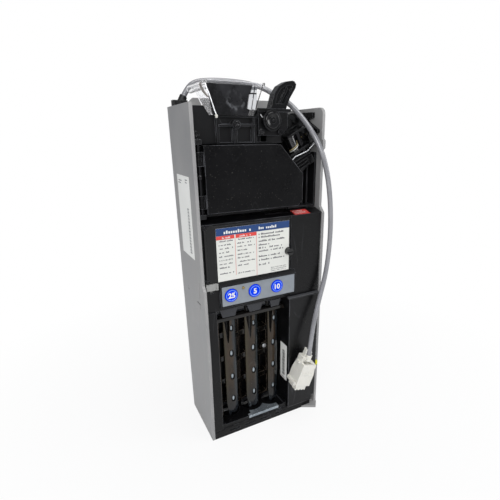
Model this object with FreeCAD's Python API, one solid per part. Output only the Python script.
"""Three-tube coin changer: grey wall tray, coin acceptor on top, control case with
payout buttons in the middle, coin tube cassette and payout slides at the bottom.

Millimetres. +Z is up, +Y points to the wall behind the changer, the front faces -Y.
The origin is the middle of the tray's base.
"""
import FreeCAD, Part
import math
import os

V = FreeCAD.Vector

# ---------------------------------------------------------------- driving sizes
HOUSING_W = 140.0        # tray, side to side
HOUSING_D = 70.0         # tray, front to back
HOUSING_H = 350.0        # tray, without the raised back edge
WALL = 3.0               # tray wall
UPSTAND_H = 9.0          # raised middle of the back wall
UPSTAND_INSET = 25.0     # from the tray's side to the raised part
UPSTAND_HALF_W = HOUSING_W / 2 - UPSTAND_INSET
UPSTAND_SLOPE = 10.0

FIT = 0.3                # gap between a module and the tray
SLIDE_GAP = 0.3          # gap beside a piece that slides
PIN_GAP = 0.05           # radial gap of a pin in its hole
SHELL = 2.0              # wall of the moulded modules

CASE_Z = 158.0           # underside of the control case
CASE_H = 90.0
ACCEPTOR_Z = 252.0       # underside of the acceptor
ACCEPTOR_TOP_GAP = 1.5   # acceptor top below the tray's top edge
SILL_H = 9.6             # front bar under the coin tubes

DOOR_T = 1.8             # service door
LABEL_T = 0.3            # paper and foil labels
FASCIA_T = 1.2           # button fascia

QUARTER_D = 24.3         # coin diameters
NICKEL_D = 21.2
DIME_D = 17.9
COIN_GAP = 0.7           # coin tube bore over the coin
TUBE_WALL = 1.2
TUBE_TOP = 141.0

BUTTON_R = 6.9
BUTTON_TRAVEL = 1.2
BUTTON_Y_PROUD = 1.0     # button faces in front of the fascia
BUTTON_PITCH = 26.15

CORD_D = 5.2
MOUNT_HOLE_R = 2.75
MOUNT_DX = 96.0          # wall screws, hole to hole
MOUNT_DZ = 250.0
MOUNT_Z = 52.0           # lower pair above the base

# ---------------------------------------------------------------- planes worked out
LEFT = -HOUSING_W / 2
RIGHT = HOUSING_W / 2
FRONT = -HOUSING_D / 2
BACK = HOUSING_D / 2
IN_LEFT = LEFT + WALL
IN_RIGHT = RIGHT - WALL
IN_BACK = BACK - WALL
MOD_LEFT = IN_LEFT + FIT
MOD_RIGHT = IN_RIGHT - FIT
CASE_TOP = CASE_Z + CASE_H
ACCEPTOR_TOP = HOUSING_H - ACCEPTOR_TOP_GAP


def bore_radius(coin):
    return (coin + COIN_GAP) / 2


BAY_X0 = MOD_LEFT + 10.1             # left post ends here
TUBE_FRONT_Y = FRONT + 11.0          # front of the coin tubes
QUARTER_X = BAY_X0 + 4.8 + bore_radius(QUARTER_D)    # coin tube centres
NICKEL_X = QUARTER_X + bore_radius(QUARTER_D) + 3.05 + bore_radius(NICKEL_D)
DIME_X = NICKEL_X + bore_radius(NICKEL_D) + 5.25 + bore_radius(DIME_D)
BAY_X1 = DIME_X + bore_radius(DIME_D) + 4.6          # right side of the bay
TUBES = ((QUARTER_X, QUARTER_D), (NICKEL_X, NICKEL_D), (DIME_X, DIME_D))


def bore_y(coin):
    return TUBE_FRONT_Y + TUBE_WALL + bore_radius(coin)


# ---------------------------------------------------------------- shape helpers
def box(x0, x1, y0, y1, z0, z1):
    return Part.makeBox(x1 - x0, y1 - y0, z1 - z0, V(x0, y0, z0))


def rod(radius, start, end):
    start, end = V(*start), V(*end)
    return Part.makeCylinder(radius, (end - start).Length, start, end - start)


def ring(outer, inner, start, end):
    return rod(outer, start, end).cut(rod(inner, start, end))


def prism(points, direction):
    wire = Part.makePolygon([V(*p) for p in points] + [V(*points[0])])
    return Part.Face(wire).extrude(V(*direction))


def prism_xz(points, y0, y1):
    return prism([(x, y0, z) for x, z in points], (0, y1 - y0, 0))


def prism_yz(points, x0, x1):
    return prism([(x0, y, z) for y, z in points], (x1 - x0, 0, 0))


def prism_xy(points, z0, z1):
    return prism([(x, y, z0) for x, y in points], (0, 0, z1 - z0))


def joined(*shapes):
    whole = shapes[0].multiFuse(list(shapes[1:])) if len(shapes) > 1 else shapes[0]
    return whole.removeSplitter()


def rounded(shape, radius, direction, near=None, reach=1.0):
    """Round the straight edges along one direction, all of them or those near a point."""
    way = V(*direction)
    edges = []
    for edge in shape.Edges:
        if len(edge.Vertexes) != 2 or edge.Curve.TypeId != "Part::GeomLine":
            continue
        run = edge.Vertexes[1].Point - edge.Vertexes[0].Point
        if run.cross(way).Length > 1e-6 * max(run.Length, 1.0):
            continue
        if near is not None and min((edge.CenterOfMass - V(*p)).Length for p in near) > reach:
            continue
        edges.append(edge)
    return shape.makeFillet(radius, edges) if edges else shape


# ---------------------------------------------------------------- tray
FLOOR_FRONT = FRONT + 3.5            # the front bar covers the floor's edge
LEFT_LIP = 4.5                       # latch tongue of the left wall, ahead of its upper edge
LEFT_LIP_TOP = 184.0
SLIT_Y = FRONT + 8.4
SLIT_W = 1.8
SLIT_Z = 172.0
SLIT_H = 18.0
HOOK_Z = 165.0
HOOK_W = 1.5
RIGHT_UPPER_SETBACK = 6.0            # right wall above the control case
RIGHT_STEP_Z = 247.0
EAR_Z = 310.0
EAR_H = 11.0
EAR_PROUD = 2.5
TOP_CORNER_R = 7.0
FOOT_H = 2.4
FOOT_X = RIGHT - 29.0
FOOT_PROUD = 9.0
SILL_X1 = MOD_RIGHT - 6.2                    # right end of the front bar
OUTLET_Y0 = FRONT + 27.0                   # coins drop behind this edge
OUTLET_L = 13.0
RELIEF_R = 2.4                       # holes behind the payout plungers
COIN_CLEAR = 1.0
OUTLET_X0 = QUARTER_X - QUARTER_D / 2 - COIN_CLEAR
OUTLET_X1 = DIME_X + DIME_D / 2 + COIN_CLEAR


def left_wall():
    lip_y = FRONT - LEFT_LIP
    side = [(BACK, 0), (FRONT, 0), (FRONT, SILL_H), (lip_y, LEFT_LIP_TOP * 0.6),
            (lip_y, LEFT_LIP_TOP), (FRONT, LEFT_LIP_TOP + LEFT_LIP), (FRONT, HOUSING_H),
            (BACK, HOUSING_H)]
    wall = prism_yz(side, LEFT, IN_LEFT)
    slit = box(LEFT - 1, IN_LEFT + 1, SLIT_Y, SLIT_Y + SLIT_W, SLIT_Z, SLIT_Z + SLIT_H)
    shank = box(LEFT - 1, IN_LEFT + 1, SLIT_Y, SLIT_Y + 11, HOOK_Z, HOOK_Z + HOOK_W)
    hook = box(LEFT - 1, IN_LEFT + 1, SLIT_Y, SLIT_Y + HOOK_W, HOOK_Z - 4, HOOK_Z + HOOK_W)
    return wall.cut([slit, shank, hook])


def right_wall():
    upper = FRONT + RIGHT_UPPER_SETBACK
    side = [(BACK, 0), (FRONT, 0), (FRONT, RIGHT_STEP_Z), (upper, RIGHT_STEP_Z + 6),
            (upper, EAR_Z), (upper - EAR_PROUD, EAR_Z + 2), (upper - EAR_PROUD, EAR_Z + EAR_H - 2),
            (upper, EAR_Z + EAR_H), (upper, HOUSING_H), (BACK, HOUSING_H)]
    wall = prism_yz(side, RIGHT - WALL, RIGHT)
    corner = (RIGHT - WALL / 2, upper, HOUSING_H)
    return rounded(wall, TOP_CORNER_R, (1, 0, 0), near=[corner], reach=0.1)


def mount_points():
    return [(sx * MOUNT_DX / 2, MOUNT_Z + dz) for dz in (0, MOUNT_DZ) for sx in (-1, 1)]


def housing():
    back = box(LEFT, RIGHT, IN_BACK, BACK, 0, HOUSING_H)
    top = HOUSING_H + UPSTAND_H
    wide = UPSTAND_HALF_W + UPSTAND_SLOPE
    raised = prism_xz([(-wide, HOUSING_H), (-UPSTAND_HALF_W, top), (UPSTAND_HALF_W, top),
                       (wide, HOUSING_H)], IN_BACK, BACK)
    floor = box(LEFT, RIGHT, FLOOR_FRONT, BACK, 0, WALL)
    foot = prism_xy([(FOOT_X, FLOOR_FRONT), (RIGHT - 6, FRONT - FOOT_PROUD), (RIGHT, FRONT - 1),
                     (RIGHT, FLOOR_FRONT + 2), (FOOT_X, FLOOR_FRONT + 2)], 0, FOOT_H)
    foot = foot.cut(box(FOOT_X - 1, SILL_X1 + FIT, FRONT - FIT, FLOOR_FRONT, -1, FOOT_H + 1))
    tray = joined(back, raised, floor, left_wall(), right_wall(), foot)
    holes = [rod(MOUNT_HOLE_R, (x, IN_BACK - 1, z), (x, BACK + 1, z)) for x, z in mount_points()]
    outlet = box(OUTLET_X0, OUTLET_X1, OUTLET_Y0, OUTLET_Y0 + OUTLET_L, -1, WALL + 1)
    reliefs = [rod(RELIEF_R, (x, IN_BACK - 1, PUSH_Z), (x, BACK + 1, PUSH_Z)) for x, _ in TUBES]
    return tray.cut(holes + reliefs + [outlet])


GLAND_W = 14.0
GLAND_D = 9.0
GLAND_H = 6.0
GLAND_X = LEFT + 11.0
SPOUT_R = 3.6                        # sleeve where the cord leaves, leaning to the right
SPOUT_L = 9.0
SPOUT_LEAN = 30.0
CORD_START = (GLAND_X + SPOUT_L * math.sin(math.radians(SPOUT_LEAN)), BACK - GLAND_D / 2,
              HOUSING_H + 2 + SPOUT_L * math.cos(math.radians(SPOUT_LEAN)))


def cord_gland():
    """Black strain relief clipped over the back wall's top edge."""
    x0, x1 = GLAND_X - GLAND_W / 2, GLAND_X + GLAND_W / 2
    block = box(x0, x1, BACK - GLAND_D, BACK, HOUSING_H, HOUSING_H + GLAND_H)
    clip = box(x0 + 2, x1 - 4, BACK - GLAND_D, IN_BACK, HOUSING_H - 8, HOUSING_H)
    spout = rod(SPOUT_R, (GLAND_X, BACK - GLAND_D / 2, HOUSING_H + 2), CORD_START)
    step = box(-UPSTAND_HALF_W - UPSTAND_SLOPE - FIT, x1 + 1, IN_BACK - FIT, BACK + 1, HOUSING_H - 1,
               HOUSING_H + GLAND_H + 1)
    return joined(rounded(block, 1.0, (0, 0, 1)).cut(step), clip, spout)


SIDE_LABEL_W = 39.0
SIDE_LABEL_H = 78.5
SIDE_LABEL_Y = 0.4
SIDE_LABEL_Z = 250.0


def side_label():
    y0, z0 = SIDE_LABEL_Y - SIDE_LABEL_W / 2, SIDE_LABEL_Z - SIDE_LABEL_H / 2
    return box(LEFT - LABEL_T, LEFT, y0, y0 + SIDE_LABEL_W, z0, z0 + SIDE_LABEL_H)


DOT_R = 4.4
DOT_Z = 60.5


def inspection_dot():
    disc = rod(DOT_R, (RIGHT - DOT_R, FRONT - LABEL_T, DOT_Z), (RIGHT - DOT_R, FRONT, DOT_Z))
    return disc.common(box(IN_RIGHT, RIGHT, FRONT - 1, FRONT, DOT_Z - 9, DOT_Z + 9))


# ---------------------------------------------------------------- acceptor
ACC_FRONT = FRONT + 11.0             # face of the acceptor's mouldings
ACC_MID = ACC_FRONT + 12.0           # face of the lower recess at the right
ACC_PLATE = ACC_FRONT + 18.0         # front of the acceptor's back plate
ACC_PLATE_T = 4.0
ENTRY_X0 = LEFT + 27.0               # coin entry under the hopper
ENTRY_X1 = ENTRY_X0 + 29.0
CENTRE_X1 = ENTRY_X1 + 10.0          # right side of the block under the hopper
ENTRY_Y0 = ACC_FRONT + 4.0
ENTRY_Y1 = ACC_PLATE - 3.0
RUNWAY_T = 3.4                       # coin runway depth
LEDGE_Z = HOUSING_H - 9.0
SHELF_Z = LEDGE_Z - 7.7
COVER_X1 = RIGHT - 29.0              # right edge of the gate cover
COVER_Z0 = ACCEPTOR_Z + 5.4
COVER_Z1 = LEDGE_Z - 24.6
COVER_CORNER_X = COVER_X1 - 25.8     # where the cover's top edge starts to slope
COVER_CORNER_Z = COVER_Z1 - 27.8
RUNWAY_FRONT = ACC_FRONT - 3.0
EXIT_X1 = COVER_X1 - 8.0             # slot under the runway's lower end
EXIT_X0 = EXIT_X1 - 29.0
EXIT_Y0 = RUNWAY_FRONT - 0.5
EXIT_Y1 = EXIT_Y0 + 9.5
BOSS_X = ENTRY_X0 + 17.5
SCREW_R = 1.45                       # module screws
SCREW_L = 6.0
SCREW_HEAD_R = 2.7
SCREW_HEAD_T = 1.8
ACC_SCREWS = ((BOSS_X, ACC_FRONT - 4.5, SHELF_Z), (MOD_LEFT + 4.1, ACC_FRONT - 1.0, COVER_Z1 + 8.6))
ROD_X = MOD_LEFT + 2.9               # hinge rod of the gate cover
ROD_Y = FRONT + 2.0
ROD_R = 1.2
HINGE_LUG_ZS = (COVER_Z0 - 4.4, COVER_Z1 + 0.8)
ACC_BOARD_Y = ACC_PLATE + 12.0
ACC_BOARD_T = 1.6
ACC_POSTS = tuple((x, z) for z in (ACCEPTOR_Z + 10.0, HOUSING_H - 18.0)
                  for x in (MOD_LEFT + 10.7, MOD_RIGHT - 10.7))
BOSS_R = 3.9
LEVER_POCKET_Z = HOUSING_H - 20.0             # room for the return lever above this height
RIB = 1.6


def runway_block():
    """Block behind the gate cover, with the inclined coin runway in its face."""
    outline = [(MOD_LEFT + 6, COVER_Z0), (COVER_X1 - 3, COVER_Z0), (COVER_X1 - 3, COVER_CORNER_Z - 2),
               (COVER_CORNER_X - 1, COVER_Z1 - 1), (MOD_LEFT + 6, COVER_Z1 - 1)]
    block = prism_xz(outline, RUNWAY_FRONT, ACC_PLATE)
    path = [(ENTRY_X0, COVER_Z1), (ENTRY_X1, COVER_Z1), (ENTRY_X1, COVER_Z0 + 42.6),
            (EXIT_X1 - 7, COVER_Z0 + 26.6), (EXIT_X1 - 1, COVER_Z0 - 1), (EXIT_X0 + 2, COVER_Z0 - 1),
            (EXIT_X0 - 2, COVER_Z0 + 6.6), (ENTRY_X0, COVER_Z0 + 18.6)]
    return block.cut(prism_xz(path, RUNWAY_FRONT - 1, RUNWAY_FRONT + RUNWAY_T))


def acceptor_body():
    top = ACCEPTOR_TOP
    plate = box(MOD_LEFT, MOD_RIGHT, ACC_PLATE, ACC_PLATE + ACC_PLATE_T, ACCEPTOR_Z, top - 12)
    shoulder = [(MOD_LEFT, COVER_Z1 + 1), (ENTRY_X0, COVER_Z1 + 1), (ENTRY_X0, LEDGE_Z),
                (ENTRY_X0 - 5, LEDGE_Z), (ENTRY_X0 - 10, top), (MOD_LEFT, top)]
    left = prism_xz(shoulder, ACC_FRONT + 3, ACC_PLATE)
    post = box(MOD_LEFT, MOD_LEFT + 2.2, ACC_FRONT + 3, ACC_PLATE, ACCEPTOR_Z, COVER_Z1 + 1)
    centre = box(ENTRY_X0, CENTRE_X1, ACC_FRONT, ACC_PLATE, COVER_Z1 + 1, LEDGE_Z)
    right = box(CENTRE_X1, LEVER_X + 15.5, ACC_FRONT + 4, ACC_PLATE, COVER_Z1 + 1, LEVER_POCKET_Z)
    behind_lever = box(CENTRE_X1, LEVER_X + 15.5, LEVER_BACK + SLIDE_GAP, ACC_PLATE, LEVER_POCKET_Z,
                       top - 2)
    body = joined(plate, left, post, centre, right, behind_lever, runway_block())
    entry = joined(box(ENTRY_X0 + 1, ENTRY_X1, ENTRY_Y0, ENTRY_Y1, COVER_Z1 - 20, top + 1),
                   box(ENTRY_X0 + 1, ENTRY_X1, RUNWAY_FRONT + 1, ENTRY_Y1, COVER_Z1 - 20, COVER_Z1 - 4))
    pockets = [box(x0, x1, ACC_FRONT - 1, ACC_FRONT + 2.5, COVER_Z1 + 2, SHELF_Z - 1.5)
               for x0, x1 in ((ENTRY_X0 + 2.5, BOSS_X - 2.5), (BOSS_X + 2.5, CENTRE_X1 - 4.5))]
    throat = prism_xz([(ENTRY_X0 + 1.5, LEDGE_Z + 1), (CENTRE_X1 - 5, LEDGE_Z + 1),
                       (CENTRE_X1 - 3.5, SHELF_Z + 1), (ENTRY_X0 + 5, SHELF_Z + 1)],
                      ACC_FRONT - 1, ACC_FRONT + 2.5)
    window = box(LEVER_X - 7.2, LEVER_X - 0.8, ACC_FRONT, ACC_PLATE + ACC_PLATE_T + 1, COVER_Z1 + 2.2,
                 COVER_Z1 + 9.5)
    groove = box(CENTRE_X1 + 2, CENTRE_X1 + 5, ACC_FRONT, ACC_FRONT + 5.2, COVER_Z1 + 2, top)
    beside = box(IN_RIGHT - BRACKET_T - FIT, MOD_RIGHT + 1, ACC_PLATE - 1, ACC_PLATE + 6,
                 BRACKET_Z0 - FIT, top)
    body = body.cut([entry, throat, window, groove, beside] + pockets)
    boss = rod(BOSS_R, (BOSS_X, ACC_FRONT - 4.5, SHELF_Z), (BOSS_X, ACC_FRONT + 4, SHELF_Z))
    spine = box(BOSS_X - 1.1, BOSS_X + 1.1, ACC_FRONT - 2.2, ACC_FRONT + 1, COVER_Z1 + 1, SHELF_Z)
    ledge = box(ENTRY_X0, CENTRE_X1, ACC_FRONT - 1.8, ACC_FRONT, LEDGE_Z - RIB, LEDGE_Z)
    shelf = box(ENTRY_X0 + 2, CENTRE_X1 - 1.5, ACC_FRONT - 1.8, ACC_FRONT + 1, SHELF_Z - RIB, SHELF_Z)
    side = box(CENTRE_X1 - 2.5, CENTRE_X1, ACC_FRONT - 1.2, ACC_FRONT, COVER_Z1 + 1, LEDGE_Z)
    lugs = [box(MOD_LEFT, MOD_LEFT + 3.5, ACC_FRONT - 1, ACC_FRONT + 3, z, z + 6)
            for z in (COVER_Z1 + 5.6, LEDGE_Z - 3)]
    floor = box(MOD_LEFT, MOD_RIGHT, ACC_FRONT + 3, ACC_PLATE, ACCEPTOR_Z, ACCEPTOR_Z + 2)
    fins = [box(x, x + RIB, ACC_MID - 4, ACC_PLATE, ACCEPTOR_Z, COVER_Z1 - 16.4)
            for x in (MOD_RIGHT - 20.2, MOD_RIGHT - 14.2, MOD_RIGHT - 8.2)]
    cheek = box(MOD_RIGHT - 2, MOD_RIGHT, ACC_FRONT + 3, ACC_PLATE, ACCEPTOR_Z, COVER_Z1 - 8.4)
    hinge_lugs = [box(MOD_LEFT, ROD_X + 2.6, ROD_Y - 2.2, ACC_FRONT + 4, z, z + 4) for z in HINGE_LUG_ZS]
    posts = [rod(3, (x, ACC_PLATE + 1, z), (x, ACC_BOARD_Y, z)) for x, z in ACC_POSTS]
    whole = joined(body, boss, spine, ledge, shelf, side, floor, cheek,
                   *(lugs + fins + hinge_lugs + posts))
    bores = [rod(SCREW_R + PIN_GAP, (x, y, z), (x, y + SCREW_L + 1, z)) for x, y, z in ACC_SCREWS]
    bores += [rod(SCREW_R + PIN_GAP, (x, LB_FRONT, z), (x, ACC_FRONT + 12, z)) for x, z in LB_SCREWS]
    bores.append(rod(ROD_R + PIN_GAP, (ROD_X, ROD_Y, HINGE_LUG_ZS[0] + 1),
                     (ROD_X, ROD_Y, HINGE_LUG_ZS[1] + 5)))
    exit_slot = box(EXIT_X0, EXIT_X1, EXIT_Y0, EXIT_Y1, ACCEPTOR_Z - 1, ACCEPTOR_Z + 3)
    return whole.cut(bores + [exit_slot])


HOPPER_TOP = LEDGE_Z + 24.4
HOPPER_RIM = HOPPER_TOP + 2.6
PLATE_Y = ACC_FRONT - 3.6
PLATE_T = 1.6
PLATE_TOP_X = (ENTRY_X0 - 8.0, ENTRY_X1 + 5.5)
PLATE_LOW_X = (ENTRY_X0 - 3.8, ENTRY_X1 + 0.8)
FUNNEL_T = 1.0
FUNNEL_BACK = ACC_PLATE + 18.0
FUNNEL_TOP_X1 = ENTRY_X1 + 17.6
BEAD_R = 1.6
ROLL_R = 3.4


def hopper_plate():
    """Black front plate of the coin hopper."""
    low = LEDGE_Z
    outline = [(PLATE_LOW_X[0], low), (PLATE_LOW_X[1], low), (PLATE_TOP_X[1], HOPPER_TOP),
               (PLATE_TOP_X[0], HOPPER_TOP)]
    return prism_xz(outline, PLATE_Y, PLATE_Y + PLATE_T)


def hopper_funnel():
    """Clear funnel behind the plate, with a folded rim and a rolled left edge."""
    front, low, top = PLATE_Y + PLATE_T, LEDGE_Z, HOPPER_RIM
    x0, x1 = PLATE_TOP_X[0], FUNNEL_TOP_X1
    low0, low1 = PLATE_LOW_X[0] + 1.6, PLATE_LOW_X[1] + 6
    t = FUNNEL_T
    slope = prism_yz([(FUNNEL_BACK, top), (FUNNEL_BACK + t, top), (ACC_PLATE, low), (ACC_PLATE - t, low)],
                     x0, x1)
    back = slope.common(prism_xz([(low0, low), (low1, low), (x1, top), (x0, top)], front, BACK))
    side_face = [(front, low), (ACC_PLATE, low), (FUNNEL_BACK + t, top), (front, top)]
    profile = prism_yz(side_face, LEFT, RIGHT)
    left = prism_xz([(low0, low), (low0 + t, low), (x0 + t, top), (x0, top)], front, BACK)
    left = left.common(profile)
    right = prism_xz([(low1 - t, low), (low1, low), (x1, top), (x1 - t, top)], front, BACK)
    right = right.common(profile)
    rim = box(x0, x1, PLATE_Y, PLATE_Y + 2.4, HOPPER_TOP, top)
    bead_z = top - BEAD_R
    bead = rod(BEAD_R, (x0 + 1, FUNNEL_BACK + t, bead_z), (x1 - 1, FUNNEL_BACK + t, bead_z))
    roll_x, roll_z = x0 - ROLL_R + 1.4, top - ROLL_R - 0.6
    roll = ring(ROLL_R, ROLL_R - t, (roll_x, front, roll_z), (roll_x, FUNNEL_BACK, roll_z))
    return joined(back, left, right, rim, bead, roll)


def hopper_clip():
    """Two bright spring fingers that hold the plate's right edge."""
    x0, z0 = PLATE_TOP_X[1], HOPPER_TOP - 20.1
    fingers = [prism_xz([(x, z0 + 1.2), (x + 3.2, z0), (x + 5.4, z0 + 12.2), (x + 2.2, z0 + 12.7)],
                        PLATE_Y - 1.4, PLATE_Y) for x in (x0 - 6.1, x0 - 1.9)]
    bridge = prism_xz([(x0 - 3.9, z0 + 10.2), (x0 + 2.5, z0 + 9.9), (x0 + 3.7, z0 + 19.2),
                       (x0 - 0.7, z0 + 19.7)],
                      PLATE_Y - 1.4, PLATE_Y)
    return joined(bridge, *fingers)


CHUTE_R = 32.0                       # outer radius of the curved return chute
CHUTE_X = RIGHT - 37.0
CHUTE_Z = HOUSING_H - 38.0


def return_chute():
    """Curved guide that takes refused coins from the lever down to the right."""
    centre = (CHUTE_X, ACC_MID, CHUTE_Z)
    disc = rod(CHUTE_R, centre, (CHUTE_X, ACC_PLATE, CHUTE_Z))
    inner = rod(CHUTE_R - 4, (CHUTE_X, ACC_MID - 1, CHUTE_Z), (CHUTE_X, ACC_MID + 3, CHUTE_Z))
    keep = box(CHUTE_X - 5, MOD_RIGHT - 2.5, ACC_MID - 2, ACC_PLATE, CHUTE_Z - 8, CHUTE_Z + CHUTE_R)
    ribs = [prism_xz([(CHUTE_X - 3, CHUTE_Z + 6 + k * 6), (CHUTE_X - 1.5, CHUTE_Z + 6 + k * 6),
                      (CHUTE_X + 25 - k * 4, CHUTE_Z + 26 - k), (CHUTE_X + 23 - k * 4, CHUTE_Z + 26 - k)],
                     ACC_MID, ACC_MID + 3) for k in range(2)]
    return joined(disc.common(keep).cut(inner), *[r.common(disc) for r in ribs])


BRACKET_T = 3.2                      # wall bracket, out from the right wall
BRACKET_Z0 = HOUSING_H - 23.5


def wall_bracket():
    rear, top = IN_BACK - 2, HOUSING_H - 3
    side = [(rear, top), (FRONT + 20, top - 1), (FRONT + 20, top - 6), (FRONT + 31, top - 8),
            (FRONT + 10, BRACKET_Z0 + 3), (FRONT + 10, BRACKET_Z0), (FRONT + 47, BRACKET_Z0),
            (FRONT + 47, top - 8), (rear, top - 6)]
    return prism_yz(side, IN_RIGHT - BRACKET_T, IN_RIGHT)


LEVER_X = CENTRE_X1 + 13.5
LEVER_Z = HOUSING_H - 13.0
HUB_R = 9.2
HUB_FRONT = FRONT + 4.0
PIVOT_R = 3.5
LEVER_FRONT = ACC_FRONT + 0.2
LEVER_BACK = LEVER_FRONT + 9.3
LB_FRONT = ACC_FRONT - 3.0           # lever bracket
LB_BACK = LB_FRONT + 2.8
LB_SCREWS = ((LEVER_X - 10.1, LEVER_Z - 10.0), (LEVER_X + 9.9, LEVER_Z - 9.8))


def by_lever(points):
    """Points given from the lever's pivot."""
    return [(LEVER_X + x, LEVER_Z + z) for x, z in points]


def lever_bracket():
    """Plate that carries the lever's pivot, fixed on two bosses of the acceptor."""
    plate = prism_xz(by_lever([(-13, -13), (11.5, -13), (18.5, -6), (18.5, 10.4), (-13, 10.4)]), LB_FRONT,
                     LB_BACK)
    feet = [rod(2.6, (x, LB_BACK, z), (x, ACC_FRONT + 4, z)) for x, z in LB_SCREWS]
    bar = box(LEVER_X - 13, LEVER_X + 21.5, LB_FRONT - 0.8, LB_BACK, LEVER_Z + 7.6, LEVER_Z + 10.4)
    plate = joined(plate, bar, *feet)
    bores = [rod(SCREW_R + PIN_GAP, (x, LB_FRONT - 1, z), (x, ACC_FRONT + 5, z)) for x, z in LB_SCREWS]
    return plate.cut(bores + [rod(PIVOT_R + PIN_GAP, (LEVER_X, LB_FRONT - 2, LEVER_Z),
                                  (LEVER_X, LEVER_BACK, LEVER_Z))])


def return_lever():
    """Thumb lever with a round hub; pressing its tip turns it about the hub."""
    hub = rod(HUB_R, (LEVER_X, HUB_FRONT, LEVER_Z), (LEVER_X, LB_FRONT - 1.1, LEVER_Z))
    dome = rod(3.2, (LEVER_X, HUB_FRONT - 1.2, LEVER_Z), (LEVER_X, HUB_FRONT, LEVER_Z))
    dish = ring(HUB_R - 1.5, 4.6, (LEVER_X, HUB_FRONT, LEVER_Z), (LEVER_X, HUB_FRONT + 1.2, LEVER_Z))
    pivot = rod(PIVOT_R, (LEVER_X, HUB_FRONT + 1, LEVER_Z), (LEVER_X, LEVER_BACK, LEVER_Z))
    outline = by_lever([(-7, 0), (0, -7), (7, 0), (18.5, 10.9), (22.4, 19.9), (28.5, 28.9), (29.2, 32.2),
                        (27.3, 34.4), (25, 35), (18, 33.9), (11.1, 30.2), (5.9, 23.4), (2.5, 12)])
    tip = (LEVER_X + 29.2, (LEVER_FRONT + LEVER_BACK) / 2, LEVER_Z + 32.2)
    arm = rounded(prism_xz(outline, LEVER_FRONT, LEVER_BACK), 1.2, (0, 1, 0), near=[tip], reach=0.2)
    inner = by_lever([(7, 15), (16, 15), (23.5, 26.5), (24.8, 31), (18.9, 30.7), (12.9, 27.6),
                      (8.9, 22.4)])
    scoop = prism_xz(inner, LEVER_FRONT - 1, LEVER_FRONT + 2.6)
    spine = prism_xz(by_lever([(10.7, 14), (12.7, 14), (20.7, 27.8), (18.9, 30.5)]), LEVER_FRONT + 0.8,
                     LEVER_FRONT + 3)
    return joined(hub.cut(dish), dome, pivot, arm.cut(scoop), spine.common(arm))


SPRING_WIRE = 0.9
COIL_SPRING_R = 7.4


def lever_spring():
    """Torsion spring behind the hub: one flat coil and a leg up to the bracket's left edge."""
    y0 = LB_FRONT - 1.0
    coil = ring(COIL_SPRING_R, COIL_SPRING_R - SPRING_WIRE, (LEVER_X, y0, LEVER_Z),
                (LEVER_X, y0 + SPRING_WIRE, LEVER_Z))
    leg = prism_xz(by_lever([(-7.3, -3), (-6.4, -3), (-10.2, 5.5), (-11.1, 5.5)]), y0, y0 + SPRING_WIRE)
    return joined(coil, leg)


GATE_TILT = 27.7                     # gate solenoid, leaning to the left
GATE_X = RIGHT - 24.9
GATE_Z = HOUSING_H - 28.8
GATE_Y = ACC_FRONT + 4.0
PLUNGER_R = 2.5
GATE_FRONT = ACC_FRONT - 2.0
GATE_BACK = ACC_MID


def tilted(shape):
    """Turn a shape made about the origin and set it at the gate solenoid."""
    turned = shape.copy()
    turned.rotate(V(0, 0, 0), V(0, 1, 0), -GATE_TILT)
    turned.translate(V(GATE_X, 0, GATE_Z))
    return turned


def solenoid_frame():
    back = prism_xz([(-19, -8), (-16, 4), (-12, 9), (8, 9), (12, 2), (12, -10), (-19, -10)],
                    GATE_BACK - 2, GATE_BACK)
    top = box(-14, 7, GATE_FRONT, GATE_BACK, 7.2, 9)
    low = box(-19, 12, GATE_FRONT, GATE_BACK, -10, -8)
    ear = box(9, 12, GATE_FRONT + 3, GATE_BACK, -8, 1)
    frame = joined(back, top, low, ear)
    return tilted(frame.cut(rod(PLUNGER_R + PIN_GAP, (0, GATE_Y, -12), (0, GATE_Y, 12))))


def gate_coil():
    core_y = GATE_Y
    drum = rod(5.2, (-9.6, core_y, -8), (-9.6, core_y, 7.2))
    cheeks = [rod(5.7, (-9.6, core_y, z), (-9.6, core_y, z + 1.4)) for z in (-8, 5.8)]
    return tilted(joined(drum, *cheeks))


def gate_plunger():
    return tilted(rod(PLUNGER_R, (0, GATE_Y, -14.4), (0, GATE_Y, 9.4)))


def gate_comb():
    """Ribbed gate carriage on the plunger's lower end."""
    outline = [(-20, -14.4), (4, -14.4), (4, -28), (-4, -28), (-15, -31), (-20, -20)]
    block = prism_xz(outline, GATE_FRONT + 3, GATE_BACK - 5)
    ribs = [prism_xz([(-20 + k, -15.5 - 3.2 * k), (3.5, -15.5 - 3.2 * k), (3.5, -16.6 - 3.2 * k),
                      (-20 + k, -16.6 - 3.2 * k)], GATE_FRONT, GATE_FRONT + 3) for k in range(4)]
    nose = box(-2.5, 4, GATE_FRONT, GATE_FRONT + 3, -27, -19.5)
    return tilted(joined(block, nose, *ribs))


def plunger_spring():
    """Two bright wires that press the gate carriage back up."""
    y = GATE_FRONT - 1.0
    path = [(10.6, -10.6), (0.3, -13.4), (-15.0, -11.4), (-21.0, -12.8)]
    legs = [rod(SPRING_WIRE / 2, (a[0], y, a[1]), (b[0], y, b[1])) for a, b in zip(path, path[1:])]
    knees = [Part.makeSphere(SPRING_WIRE / 2, V(u, y, w)) for u, w in path[1:-1]]
    hook = rod(SPRING_WIRE / 2, (10.2, y, -10.4), (10.2, GATE_FRONT + 4, -10.4 + SPRING_WIRE / 2))
    return tilted(joined(*(legs + knees + [hook])).cut(box(-30, 30, GATE_FRONT, GATE_BACK, -10, 10)))


COVER_FRONT = FRONT - 1.0
COVER_BACK = RUNWAY_FRONT - 1.2
COVER_X0 = ROD_X + 4.0
COVER_T = 1.6
KNUCKLE_R = 2.2
KNUCKLES = ((COVER_Z0 + 4.6, 12.0), (COVER_Z1 - 17.4, 12.0))     # lower end and height of each


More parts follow.
